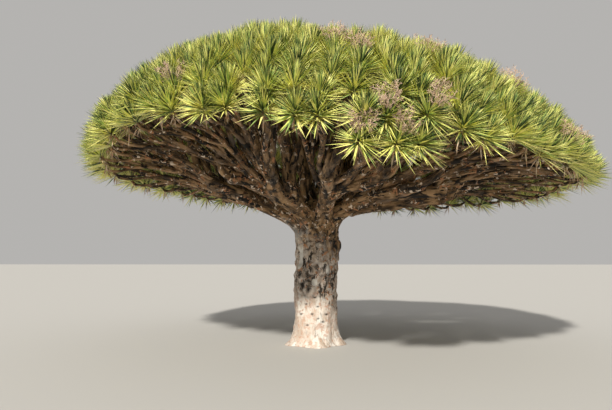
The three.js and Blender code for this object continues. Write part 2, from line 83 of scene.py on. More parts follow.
TIP_RADIUS = 0.02
PIPE_POWER = 0.4
TIPS_IN_MASS = 64
TIPS_IN_CENTRE_MASS = 40
BOUGH_SHARE = 0.48
LOW_ANGLE = 81
LOW_ROOT = {"offset": 0.06, "height": 2.09, "lift": 0.07, "stray": 0.04}
LOW_CARRIES = 3
LOW_CLIMB = {"out": 0.47, "up": 0.42}
LOW_LEVEL = {"offset": 1.3, "above": 0.12, "share": 0.6}
SIDE_JOINT = 3
SIDE_HUMPS = ((0.3, 0.03), (0.7, 0.02))
SIDE_SWELL = 1.1
RISER_JOINT = 2
RISER_CLIMB = {"out": 0.16, "up": 0.22}
RISER_SWELL = 1.15
RISER_ANGLE = 47
CENTRE_ROOT = {"offset": 0.12, "height": 2.2}
CENTRE_CLIMB = {"offset": 0.33, "height": 2.55}
CENTRE_SWELL = 1.5
CENTRE_ANGLE = 19.2
STRAIGHT_FROM = 0.66
BOUGH_STEPS = 5
BOUGH_WANDER = 0.036

ROSETTE_DEPTH = 0.44

SEEDS = {"low": 0, "side": 20, "riser": 40, "centre": 60, "root": 21, "edge": 31}
SEED_STEP = 17.137
SEED_TURN = 12.9898
SEED_START = 78.233
SEED_SIZE = 43758.5453
AWRY = Vector((0.31, -0.87, 0.37))

# Bark, in metres
TRUNK_VOXEL = 0.016
BOUGH_VOXEL = 0.026
TRUNK_TURNS = 72  # vertices to a turn of the trunk before it is joined to its boughs
TRUNK_RING_GAP = 0.03
TRUNK_SAMPLES = 80  # points on its middle line
BOUGH_SIDES = 14
LINE_STEPS = 8  # points to each stretch of a bough's line
LOOK_UP_STEPS = 6  # the same, where a branch's place on the line is looked up
ROOT_REACH = 1.0  # how far out the trunk's own piece follows each bough's root
ROOT_NARROWS = {"from": 0.7, "by": 0.22}  # from a share of that reach on, to end inside the boughs' piece
COLLAR = 0.3  # share by which a bough swells where it leaves another, or the trunk
COLLAR_LENGTH = 0.22
COLLAR_START = {"trunk": 0.35, "bough": 0.1}  # how far a bough runs inside what it leaves
JOIN_ROUNDS = {"trunk": 8, "bough": 4}  # of smoothing, where limbs join...
JOIN_FACTOR = 0.5  # ...and how strong
GRAIN_DRAWN = 0.3  # the bark's pattern is drawn out along a limb by one over this
# Healed wounds on the trunk: azimuth in degrees, height, radius and how far they stand out
HEALED = (
    (-103, 1.36, 0.085, 0.035), (-72, 1.38, 0.09, 0.035), (-134, 1.27, 0.11, 0.045),
    (-130, 1.07, 0.12, 0.03), (-62, 1.12, 0.1, 0.03), (-17, 1.33, 0.08, 0.055),
    (-25, 0.86, 0.07, 0.045), (-5, 1.77, 0.09, 0.05), (-111, 1.0, 0.095, 0.035), (55, 1.5, 0.1, 0.04),
    (95, 1.15, 0.09, 0.04), (140, 1.65, 0.1, 0.045), (175, 1.2, 0.08, 0.04), (120, 0.7, 0.07, 0.03),
    (30, 1.0, 0.08, 0.035),
)
HEALED_TALL = 0.85  # its width as a share of its height
HEALED_REACH = 2.5  # radii from its middle to where it ends
# Its dent, and the painted shade in its middle and in the ring round it: how strong, how far out and how wide,
# in radii
HEALED_DENT = (0.8, 0, 0.42)
HEALED_DARK = (0.8, 0, 0.4)
HEALED_RING = (0.35, 1.3, 0.25)
# Slits in the pale bark, dark with painted shade: azimuth, height and half their width. More of them are
# seeded all round
SLITS = (
    (-132, 0.56, 0.03), (-100, 0.57, 0.028), (-85, 0.7, 0.026), (-60, 0.56, 0.034), (-83, 0.49, 0.024),
    (-110, 0.38, 0.026), (-69, 0.43, 0.03), (-93, 0.86, 0.03), (-118, 0.74, 0.024),
)
SEEDED_SLITS = 26
SEEDED_SLIT = {"azimuth": (-40, 220), "height": (0.25, 1.0), "half": (0.02, 0.036)}
SLIT_HEIGHT = 0.45  # of its width
SLIT_DEPTH = 0.02
SLIT_DARK = 1.2
SLIT_REACH = 3  # half widths up and down to where it ends
# Pale streaks up the trunk: azimuth, lowest and highest height, and half their width
STREAKS = (
    (-138, 1.3, 2.12, 0.07), (-158, 1.75, 2.35, 0.08), (-72, 2.0, 2.35, 0.035), (-116, 1.8, 2.25, 0.03),
    (-95, 1.0, 1.25, 0.06), (-60, 1.2, 1.5, 0.05), (20, 1.2, 2.0, 0.07), (85, 1.4, 2.2, 0.06),
    (140, 1.0, 1.7, 0.07),
)
STREAK_FADE = 0.12  # how long its ends are

# Where the trunk's bark stops being smooth, and where its rough band comes in and goes out
SMOOTH_ENDS = (0.7, 1.2)
ROUGH_STARTS = (0.75, 1.05)
ROUGH_ENDS = (1.6, 2.0)
# Waves of the bark: how many to a metre, their shift, and how far they stand out, off such a band and in it
FLUTES = (5.5, (0, 0, 0), 0.02, 0.02)
RIDGES = (12, (4, 0, 0), 0.014, 0.004)
LUMPS = (7.5, (0, 0, 0), 0.008, 0.034)
KNOTS = (15, (0, 7, 0), 0.006, 0.014)
BOUGH_RIDGES = (9, (0, 0, 0), 0.022, 0.022)
BOUGH_CREASES = (21, (3, 0, 0), 0.008, 0.008)
BOUGH_LUMPS = (6, (0, 0, 0), 0.014, 0.014)
BOUGH_BARK_ABOVE = HEAD_HEIGHT - 0.35  # from this height up...
BOUGH_BARK_FROM = (0.35, 0.75)  # ...and at this distance from the fork point, a bough's bark takes over
FOOT_SMOOTH = 0.06  # the height over which the relief grows from the ground up

# Twigs: the rule of the solids, carried on to finer ones. Where a mass's branches leave its bough,
# as shares of its way: first those to the rim's lower half, then those to the upper one
STARTS = {
    "low": (0.32, 0.42, 0.54, 0.68, 0.8, 1.0),
    "side": (0.04, 0.2, 0.38, 0.56, 0.75, 1.0),
    "riser": (0.3, 0.5, 0.75, 1.0),
    "centre": (0.35, 0.55, 0.8, 1.0),
}
RIB_SWELL = 1.25  # of the branches that run out low under the rim...
RIB_ANGLE = 70  # ...which is beyond this angle
ROSETTE_SPACE = 0.4  # twigs fork until the side of each one's cell is under this
FORK_SHARES = (0.4, 0.42, 0.5, 0.55)  # where they fork, as shares of the way that is left
FORK_WANDER = 0.045
FORK_WANDER_UP = 0.6  # of that, up and down
FORK_KEEPS = 0.6  # how much a branch keeps to its way where it turns to its target at a fork
RUN_STRAIGHT = 0.42  # how far a twig keeps to the way of the one before it
END_STRAIGHT = 0.3  # how far it keeps to its last way
BRANCH_TAPER = 0.9
TWIG_TAPER = 0.95
TWIG_KNOBS = 0.16  # how far the radius strays
FORK_SUNK = 0.5  # how many radii a twig starts inside its fork
BRANCH_SUNK = 0.04  # how far a branch starts back inside its bough
CELL_STRAY = 0.2  # how far a rosette lies off its cell's middle, as a share of the cell
DEPTH_STRAY = 0.05
TWIG_SIDES = (8, 7, 6, 5, 5)  # at each fork's level
TWIG_STEPS = (11, 8, 6, 5, 4)
BRANCH_LEVELS = 2  # those of branches, before the ones of twigs
RIM_SHORT = 1.2  # degrees that the lowest rosettes' cells end above the rim's edge

# Leaves
LEAVES = 250  # to a rosette
LEAF_LENGTH = (0.36, 0.47)
LEAF_WIDTH = 0.024
LEAF_KEEL = 0.35  # of its half width
LEAF_WIDEST = 0.3  # of its length
LENGTH_STRAY = (0.8, 1.02)
WIDTH_STRAY = (0.75, 1.15)
GOLDEN_TURN = 137.508
TURN_STRAY = 14
AXIS_SHARE = {"top": 0.3, "rim": 0.56}  # a rosette's lean from the vertical, by its place's angle...
AXIS_BAND = (64, 84)  # ...which is the top's up to the first of these, and the rim's from the second
AXIS_STRAY = 0.17
RIM_BAND = (58, 80)  # the same for how the leaves lean, droop and are coloured
LEAN_INNER = 3
LEAN_OUTER = {"top": 70, "rim": 70, "hanging": 96}
LEAN_STRAY = 5
# Where the rim hangs lowest, its rosettes face out and their leaves are shorter
HANGING = {"azimuth": -79.5, "width": 14, "shorter": 0.1}
ROOM_LONGER = 1.0  # how much longer the leaves are for each metre that a rosette has more room
TUFT_LENGTH = 0.1  # the stretch of a twig that bears the leaves
TUFT_AHEAD = 0.3  # of it, past the twig's end
LEAF_OUT = 0.012  # how far off the twig's middle a leaf starts
DROOP = {"all": 0.03, "outer": 0.04, "rim": 0.1, "stray": (0.4, 1.6)}
# A leaf's tone, and by how much it differs between rosettes, at the rim, on the side turned from the
# light, from the inner leaves to the outer ones, and from leaf to leaf
TONE = {"middle": 0.59, "rosette": 0.07, "rim": 0.1, "shaded": 0.3, "outer": 0.4, "leaf": 0.28}
LEAF_SEED = 7
# Dry leaves that hang under each rosette beyond an angle
DRY = {
    "from": 62, "leaves": 7, "lean": (8, 62), "below": (0.05, 0.16), "tone": 10,
    "length": (0.08, 0.22), "width": (0.6, 1.0), "droop": (0, 0.3),
}

rad = math.radians


def seeded(*key):
    """The same number between 0 and 1 each time for the same key, whose last number tells its use."""
    total = sum((k + 1) * (i + 1) * SEED_STEP for i, k in enumerate(key))
    s = math.sin(total * SEED_TURN + SEED_START) * SEED_SIZE
    return s - math.floor(s)


def stray(*key):
    """The same, between -1 and 1."""
    return 2 * seeded(*key) - 1


def lerp(a, b, share):
    return a + (b - a) * share


def smoothstep(x, low, high):
    """0 up to the low value and 1 from the high one, with a smooth rise between them."""
    t = min(max((x - low) / (high - low), 0.0), 1.0)
    return t * t * (3 - 2 * t)


def bell(x, most=1, middle=0, width=1):
    """The most at the middle, and less and less to both sides."""
    return most * math.exp(-(((x - middle) / width) ** 2))


def turned(azimuth, other):
    """How far an azimuth is turned from another one, by the shorter way round."""
    return (azimuth - other + 180) % 360 - 180


# The dome

TILT = Matrix.Rotation(rad(-TILT_BACK), 3, "X") @ Matrix.Rotation(rad(TILT_RIGHT), 3, "Y")
UNTILT = TILT.transposed()


def bearing(angle, azimuth):
    """A direction by its angle from the vertical and its azimuth."""
    flat = math.sin(rad(angle))
    return Vector((flat * math.cos(rad(azimuth)), flat * math.sin(rad(azimuth)), math.cos(rad(angle))))


def heading(angle, azimuth):
    """The same, in the dome's tilted frame."""
    return TILT @ bearing(angle, azimuth)


def reach(angle, azimuth):
    """How far it is from the fork point to the leaf tips, that way."""
    way = bearing(angle, azimuth)
    start = UNTILT @ (FORK_POINT - DOME_CENTRE)
    inside, outside = 0.0, 2 * DOME_RADIUS
    while outside - inside > REACH_STEP:
        middle = (inside + outside) / 2
        p = start + middle * way
        flat = math.hypot(p.x, p.y) / DOME_RADIUS
        if flat**DOME_POWER + abs(p.z / DOME_HEIGHT) ** DOME_POWER < 1:
            inside = middle
        else:
            outside = middle
    broad = math.sin(rad(SWELL_COUNTS[0] * azimuth + SWELL_START)) * math.sin(rad(2 * angle))
    small = math.sin(rad(SWELL_COUNTS[1] * azimuth + 3 * angle))
    return inside * (1 + DOME_SWELLS[0] * broad + DOME_SWELLS[1] * small)


def under(angle, azimuth, depth):
    """A point that way, at a depth under the leaf tips."""
    return FORK_POINT + (reach(angle, azimuth) - depth) * heading(angle, azimuth)


def rim_edge(azimuth):
    """The angle of the rim's lower edge."""
    edge = RIM_EDGE - RIM_LIFT * math.cos(rad(azimuth - RIM_LIFT_AZIMUTH))
    for down, middle, width in RIM_BENDS:
        edge += down * bell(turned(azimuth, middle) / width)
    return edge


def across(way):
    """Two directions square to a way and to each other."""
    side = AWRY.cross(way).normalized()
    return side, way.cross(side)


def spokes(way, turns):
    """Directions square to a way, at turns round it."""
    side, other = across(way)
    return np.cos(turns)[:, None] * np.array(side) + np.sin(turns)[:, None] * np.array(other)


def leaning(axis, lean, turn):
    """The way a stalk leans from an axis."""
    side, other = across(axis)
    out = math.sin(rad(lean))
    return math.cos(rad(lean)) * axis + out * (math.cos(rad(turn)) * side + math.sin(rad(turn)) * other)


# Limbs, as the solids have them


def radius_for(tips):
    return TIP_RADIUS * tips**PIPE_POWER


def trunk_radius(height, turn):
    flare = math.exp(-height / FLARE_HEIGHT)
    lobes = math.cos((ROOT_LOBES * turn) / 2 + LOBE_TURN) ** 2
    knobs = 0
    for i, (size, count, climb) in enumerate(KNOBS):
        knobs += size * math.sin(count * turn + height / climb + i)
    head = smoothstep(height, NECK_HEIGHT, HEAD_HEIGHT)
    closing = max(height - HEAD_HEIGHT, 0) / (TRUNK_TOP - HEAD_HEIGHT)
    plain = lerp(TRUNK_RADIUS * (1 + knobs), HEAD_RADIUS, head)
    foot = flare * (TRUNK_BASE_RADIUS - TRUNK_RADIUS + ROOT_LOBE * lobes)
    return plain * (1 - HEAD_CLOSING * closing**2) + foot


def in_trunk(azimuth, height, offset):
    """On the trunk's axis and off it to one side, at a height."""
    return bearing(90, azimuth) * offset + Vector((TRUNK_LEAN * height, 0, height))


def bezier(a, b, c, d, t):
    u = 1 - t
    return u**3 * a + 3 * u * u * t * b + 3 * u * t * t * c + t**3 * d


def bough_line(seed, start, leaving, arriving, tip):
    """A bough's line from its root to the tip that carries its mass, with stray bends."""
    line = []
    for i in range(BOUGH_STEPS + 1):
        share = i / BOUGH_STEPS
        loose = math.sin(math.pi * share) * BOUGH_WANDER
        awry = Vector([stray(seed, i, use) for use in (1, 2, 3)])
        line.append(bezier(start, leaving, arriving, tip, share) + loose * awry)
    return line


# A part of the dome, between two angles from the vertical and two azimuths
Cell = namedtuple("Cell", "top bottom first last")


def middle_of(cell):
    """The angle and the azimuth in a cell's middle."""
    return (cell.top + cell.bottom) / 2, (cell.first + cell.last) / 2


def tip_of(cell, angle):
    """Where the bough under a cell ends."""
    _, azimuth = middle_of(cell)
    length = BOUGH_SHARE * reach(min(angle, RIM_EDGE), azimuth)
    return FORK_POINT + length * (bearing(angle, azimuth) + heading(angle, azimuth)).normalized()


@dataclass
class Mass:
    """A bough, and the space over its tip that its twigs and leaves keep to."""

    name: str
    number: int
    line: list
    swell: float
    cell: Cell
    tips: int

    def __post_init__(self):
        self.kind = self.name.split("_")[0]
        self.rim = self.cell.top == MIDDLE_EDGE
        self.off_trunk = self.kind in ("low", "centre")

    def radius(self, share):
        """The bough's radius at a share of its way."""
        return radius_for(self.tips) * lerp(self.swell, 1, share)

    def lowered(self, angle, azimuth):
        """An angle in the cell as it is where the rim's edge follows the azimuth."""
        if not self.rim:
            return angle
        share = (angle - self.cell.top) / (self.cell.bottom - self.cell.top)
        return lerp(self.cell.top, rim_edge(azimuth) - RIM_SHORT, share)


def sector_edge(n):
    return FIRST_AZIMUTH + n * 360 / SECTORS + SECTOR_STRAY * stray(n % SECTORS, SEEDS["edge"])


def low_and_side(n, middle):
    """A bough to each half of the sector's rim: a low one off the trunk, and a side one off that."""

    def cell(start, end):
        return Cell(MIDDLE_EDGE, rim_edge((start + end) / 2), start, end)

    low_cell = cell(sector_edge(n), middle)
    low_tip = tip_of(low_cell, LOW_ANGLE)
    lift = LOW_ROOT["lift"] * math.cos(rad(middle)) + LOW_ROOT["stray"] * stray(n, SEEDS["root"])
    root = in_trunk(middle, LOW_ROOT["height"] + lift, LOW_ROOT["offset"])
    climb = in_trunk(middle, root.z + LOW_CLIMB["up"], LOW_CLIMB["out"])
    level = in_trunk(middle, 0, LOW_LEVEL["offset"])
    level.z = lerp(FORK_POINT.z + LOW_LEVEL["above"], low_tip.z, LOW_LEVEL["share"])
    low = bough_line(SEEDS["low"] + n, root, climb, level, low_tip)

    side_cell = cell(middle, sector_edge(n + 1))
    joint = low[SIDE_JOINT]
    side_tip = tip_of(side_cell, LOW_ANGLE)
    humps = [joint.lerp(side_tip, share) + Vector((0, 0, up)) for share, up in SIDE_HUMPS]
    side = bough_line(SEEDS["side"] + n, joint, *humps, side_tip)
    return (low, LOW_CARRIES**PIPE_POWER, low_cell), (side, SIDE_SWELL, side_cell)


def riser(n, middle, low):
    """A bough off the low one, to the part of the dome inside the rim."""
    cell = Cell(CENTRE_EDGE, MIDDLE_EDGE, sector_edge(n), sector_edge(n + 1))
    joint = low[RISER_JOINT]
    tip = tip_of(cell, RISER_ANGLE)
    climb = joint + bearing(90, middle) * RISER_CLIMB["out"] + Vector((0, 0, RISER_CLIMB["up"]))
    line = bough_line(SEEDS["riser"] + n, joint, climb, joint.lerp(tip, STRAIGHT_FROM), tip)
    return line, RISER_SWELL, cell


def centre_bough(n):
    """One of the steep boughs in the middle."""
    width = 360 / CENTRE_BOUGHS
    start = FIRST_AZIMUTH + n * width
    middle = start + width / 2
    cell = Cell(0, CENTRE_EDGE, start, start + width)
    tip = tip_of(cell, CENTRE_ANGLE)
    root = in_trunk(middle, **CENTRE_ROOT)
    climb = in_trunk(middle, **CENTRE_CLIMB)
    line = bough_line(SEEDS["centre"] + n, root, climb, root.lerp(tip, STRAIGHT_FROM), tip)
    return line, CENTRE_SWELL, cell


def all_masses():
    masses = []

    def add(name, line, swell, cell, tips=TIPS_IN_MASS):
        masses.append(Mass(name, len(masses), line, swell, cell, tips))

    for n in range(SECTORS):
        middle = (sector_edge(n) + sector_edge(n + 1)) / 2
        low, side = low_and_side(n, middle)
        add(f"low_{n + 1}", *low)
        add(f"side_{n + 1}", *side)
        add(f"riser_{n + 1}", *riser(n, middle, low[0]))
    for n in range(CENTRE_BOUGHS):
        add(f"centre_{n + 1}", *centre_bough(n), TIPS_IN_CENTRE_MASS)
    return masses


# Meshes


def set_attribute(mesh, name, values):
    """A number or a vector for each vertex, which the materials read."""
    kind, field = ("FLOAT_VECTOR", "vector") if values.ndim > 1 else ("FLOAT", "value")
    mesh.attributes.new(name, kind, "POINT").data.foreach_set(field, values.astype(np.float32).ravel())


class Soup:
    """Vertices and faces that are gathered into one mesh, with the bark's own coordinates."""

    def __init__(self):
        self.vertices = []
        self.grain = []
        self.faces = []
        self.count = 0

    def add(self, vertices, faces, middles=0.0):
        """The middles are the points on a limb's middle line that its vertices stand round."""
        vertices = np.asarray(vertices, np.float32)
        self.vertices.append(vertices)
        self.grain.append(vertices - (1 - GRAIN_DRAWN) * middles)
        self.faces.extend(tuple(i + self.count for i in face) for face in faces)
        self.count += len(vertices)

    def tube(self, points, radii, sides):
        """A limb through points, with a radius at each, closed at both ends."""
        turns = np.arange(sides) * (2 * math.pi / sides)
        rings = []
        for i, p in enumerate(points):
            way = (points[min(i + 1, len(points) - 1)] - points[max(i - 1, 0)]).normalized()
            rings.append(np.array(p) + radii[i] * spokes(way, turns))
        self.hose(rings, np.repeat(np.array(points), sides, axis=0))

    def hose(self, rings, middles=0.0):
        """Rings of vertices, joined one to the next, and closed at both ends."""
        sides = len(rings[0])
        faces = [tuple(reversed(range(sides)))]
        for r in range(len(rings) - 1):
            for s in range(sides):
                a, b = r * sides + s, r * sides + (s + 1) % sides
                faces.append((a, b, b + sides, a + sides))
        last = (len(rings) - 1) * sides
        faces.append(tuple(range(last, last + sides)))
        self.add(np.concatenate(rings), faces, middles)

    def mesh(self, name):
        mesh = bpy.data.meshes.new(name)
        mesh.from_pydata(np.concatenate(self.vertices).tolist(), [], self.faces)
        set_attribute(mesh, "grain", np.concatenate(self.grain))
        return mesh


def new_object(data):
    """Puts a mesh, a lamp or a camera in the scene."""
    piece = bpy.data.objects.new(data.name, data)
    bpy.context.scene.collection.objects.link(piece)
    return piece


def finish_piece(piece, material, slot, nodes=()):
    piece.data.materials.append(material)
    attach(piece, "root")
    if nodes:
        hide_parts(*nodes)


# Trunk and boughs


def fine_line(line, steps):
    """Points on a smooth line through a bough's joints, with their share of the way."""
    ends = [2 * line[0] - line[1], *line, 2 * line[-1] - line[-2]]
    points = []
    for i in range(len(line) - 1):
        a, b, c, d = ends[i : i + 4]
        for k in range(steps):
            t = k / steps
            bent = (2 * a - 5 * b + 4 * c - d) * t * t + (3 * b - a - 3 * c + d) * t**3
            points.append((0.5 * (2 * b + (c - a) * t + bent), (i + t) / (len(line) - 1)))
    points.append((line[-1].copy(), 1.0))
    return points


def point_on(line, share):
    """A point at a share of a bough's way, and the way there."""
    fine = fine_line(line, LOOK_UP_STEPS)
    place = share * (len(fine) - 1)
    i = min(int(place), len(fine) - 2)
    a, b = fine[i][0], fine[i + 1][0]
    return a.lerp(b, place - i), (b - a).normalized()


def trunk_shape(soup):
    """The plain trunk, before it is joined to its boughs."""
    count = round(TRUNK_TOP / TRUNK_RING_GAP)
    rings = []
    for r in range(count + 1):
        height = TRUNK_TOP * r / count
        rings.append([])
        for s in range(TRUNK_TURNS):
            turn = 2 * math.pi * s / TRUNK_TURNS
            radius = trunk_radius(height, turn)
            rings[r].append((TRUNK_LEAN * height + radius * math.cos(turn), radius * math.sin(turn), height))
    soup.hose(rings)


def bough_shape(soup, mass, until=None):
    """A plain bough with a collar at its root, whole or as far out from the fork point as until."""
    points, radii = [], []
    travelled = 0.0
    last = mass.line[0]
    inside = COLLAR_START["trunk" if mass.off_trunk else "bough"]
    for p, share in fine_line(mass.line, LINE_STEPS):
        travelled += (p - last).length
        last = p
        from_root = max(travelled - inside, 0)
        radius = mass.radius(share) * (1 + COLLAR * math.exp(-from_root / COLLAR_LENGTH))
        if until:
            away = (p - FORK_POINT).length
            if away > until:
                break
            radius *= 1 - ROOT_NARROWS["by"] * smoothstep(away, ROOT_NARROWS["from"] * until, until)
        points.append(p)
        radii.append(radius)
    if len(points) > 2:
        soup.tube(points, radii, BOUGH_SIDES)


def remeshed(name, soup, voxel, smoothing):
    """The shapes in a soup as one skin, with their joints rounded."""
    piece = new_object(soup.mesh(name))
    remesh = piece.modifiers.new("Remesh", "REMESH")
    remesh.mode = "VOXEL"
    remesh.voxel_size = voxel
    smooth = piece.modifiers.new("Smooth", "SMOOTH")
    smooth.factor = JOIN_FACTOR
    smooth.iterations = smoothing
    depsgraph = bpy.context.evaluated_depsgraph_get()
    mesh = bpy.data.meshes.new_from_object(piece.evaluated_get(depsgraph))
    piece.modifiers.clear()
    piece.data = mesh
    return piece


def vectors_of(mesh, name):
    """The vertices' places or normals."""
    vectors = np.zeros(3 * len(mesh.vertices), np.float32)
    mesh.vertices.foreach_get(name, vectors)
    return vectors.reshape(-1, 3)


def axes_tree(masses):
    """A search tree of the points along the trunk's and the boughs' middle lines, with the way at each."""
    samples = []
    for i in range(TRUNK_SAMPLES):
        height = TRUNK_TOP * i / TRUNK_SAMPLES
        samples.append((Vector((TRUNK_LEAN * height, 0, height)), Vector((TRUNK_LEAN, 0, 1)).normalized()))
    for mass in masses:
        fine = fine_line(mass.line, LINE_STEPS)
        samples.extend((a, (b - a).normalized()) for (a, _), (b, _) in zip(fine, fine[1:]))
    tree = KDTree(len(samples))
    for i, sample in enumerate(samples):
        tree.insert(sample[0], i)
    tree.balance()
    return tree, samples


def trunk_turn(p):
    """The turn round the trunk's axis at which a point lies."""
    return math.atan2(p.y, p.x - TRUNK_LEAN * p.z)


def round_trunk(turn, azimuth):
    """How far a turn lies from an azimuth, along the trunk's girth."""
    return ((turn - rad(azimuth) + math.pi) % (2 * math.pi) - math.pi) * TRUNK_RADIUS


def streak(turn, height):
    """How pale the bark is along its streaks."""
    most = 0.0
    for azimuth, low, high, half in STREAKS:
        begun = smoothstep(height, low, low + STREAK_FADE)
        left = 1 - smoothstep(height, high - STREAK_FADE, high)
        most = max(most, bell(round_trunk(turn, azimuth) / half) * begun * left)
    return most


def all_slits():
    """The named slits and the seeded ones."""
    slits = list(SLITS)
    for n in range(SEEDED_SLITS):
        slits.append(tuple(lerp(*ends, seeded(n, 61 + i)) for i, ends in enumerate(SEEDED_SLIT.values())))
    return slits


def waves(place, kind, within=0.0):
    """How far waves of one kind stand out at a place, which may lie within their band."""
    scale, shift, outside, inside = kind
    return lerp(outside, inside, within) * noise.noise(place * scale + Vector(shift))


def trunk_relief(p, grain, slits):
    """How far the trunk's bark stands out at a point, and how much painted shade darkens it there."""
    turn = trunk_turn(p)
    smooth = 1 - smoothstep(p.z, *SMOOTH_ENDS)
    rough = smoothstep(p.z, *ROUGH_STARTS) * (1 - smoothstep(p.z, *ROUGH_ENDS))
    out = waves(grain, FLUTES) + waves(grain, RIDGES, smooth)
    out += waves(p, LUMPS, rough) + waves(p, KNOTS, rough)
    dark = 0.0
    for azimuth, height, radius, rise in HEALED:
        away = math.hypot(round_trunk(turn, azimuth), (p.z - height) * HEALED_TALL) / radius
        if away < HEALED_REACH:
            out += rise * (bell(away) - bell(away, *HEALED_DENT))
            dark += bell(away, *HEALED_DARK) + bell(away, *HEALED_RING)
    for azimuth, height, half in slits:
        if abs(p.z - height) < SLIT_REACH * half:
            away = math.hypot(round_trunk(turn, azimuth) / half, (p.z - height) / (half * SLIT_HEIGHT))
            out -= bell(away, SLIT_DEPTH)
            dark += bell(away, SLIT_DARK)
    return out, min(dark, 1.0)


def bough_relief(p, grain):
    """How far a bough's bark stands out: ridges along it, and lumps."""
    return waves(grain, BOUGH_RIDGES) + waves(grain, BOUGH_CREASES) + waves(p, BOUGH_LUMPS)


def add_relief(piece, masses):
    """Raises the bark, and gives each vertex its place in the pattern, its painted shade, and how pale it is.
    """
    mesh = piece.data
    co, normals = vectors_of(mesh, "co"), vectors_of(mesh, "normal")
    grains = np.zeros_like(co)
    recess_shades = np.zeros(len(co))
    pales = np.zeros(len(co))
    tree, samples = axes_tree(masses)
    slits = all_slits()
    for i in range(len(co)):
        p = Vector(co[i])
        _, nearest, _ = tree.find(p)
        middle, way = samples[nearest]
        middle = middle + way * (p - middle).dot(way)
        grain = p - (1 - GRAIN_DRAWN) * middle
        outer = 0.0
        if p.z > BOUGH_BARK_ABOVE:
            outer = smoothstep((p - FORK_POINT).length, *BOUGH_BARK_FROM)
        out = 0.0
        if outer < 1:
            raised, recess_shades[i] = trunk_relief(p, grain, slits)
            pales[i] = streak(trunk_turn(p), p.z)
            out += (1 - outer) * raised
        if outer > 0:
            out += outer * bough_relief(p, grain)
        out *= smoothstep(p.z, 0, FOOT_SMOOTH)
        co[i] += normals[i] * out
        grains[i] = grain
    co[:, 2] = np.maximum(co[:, 2], 0)
    mesh.vertices.foreach_set("co", co.ravel())
    mesh.update()
    for name, values in (("grain", grains), ("scar", recess_shades), ("pale", pales)):
        set_attribute(mesh, name, values)
    mesh.shade_smooth()
    return piece


def make_trunk(masses):
    soup = Soup()
    trunk_shape(soup)
    for mass in masses:
        if mass.off_trunk:
            bough_shape(soup, mass, ROOT_REACH)
    return add_relief(remeshed("trunk_with_bark", soup, TRUNK_VOXEL, JOIN_ROUNDS["trunk"]), masses)


def make_boughs(masses):
    soup = Soup()
    for mass in masses:
        bough_shape(soup, mass)
    return add_relief(remeshed("boughs_with_bark", soup, BOUGH_VOXEL, JOIN_ROUNDS["bough"]), masses)


# Twigs


def halves(cell):
    """The halves of a cell, cut across its longer side."""
    angle, _ = middle_of(cell)
    if cell.bottom - cell.top > (cell.last - cell.first) * math.sin(rad(angle)):
        return cell._replace(bottom=angle), cell._replace(top=angle)
    return azimuth_halves(cell)


def azimuth_halves(cell):
    """Its halves, cut from top to bottom."""
    _, azimuth = middle_of(cell)
    return cell._replace(last=azimuth), cell._replace(first=azimuth)


def cell_size(cell):
    """The side of a square as large as a cell, out among the rosettes."""
    angle, azimuth = middle_of(cell)
    distance = reach(angle, azimuth) - ROSETTE_DEPTH
    area = rad(cell.bottom - cell.top) * rad(cell.last - cell.first) * math.sin(rad(angle))
    return distance * math.sqrt(area)


def bend(start, leaving, end, arriving, steps):
    """Points on a curve from start to end that sets off and arrives in given ways."""
    length = (end - start).length
    leave = start + RUN_STRAIGHT * length * leaving
    arrive = end - END_STRAIGHT * length * arriving
    return [bezier(start, leave, arrive, end, k / steps) for k in range(steps + 1)]


@dataclass(eq=False)
class Rosette:
    """The end of a twig, with its tuft of leaves."""

    at: Vector
    axis: Vector
    key: tuple
    angle: float
    azimuth: float
    room: float  # the side of its cell


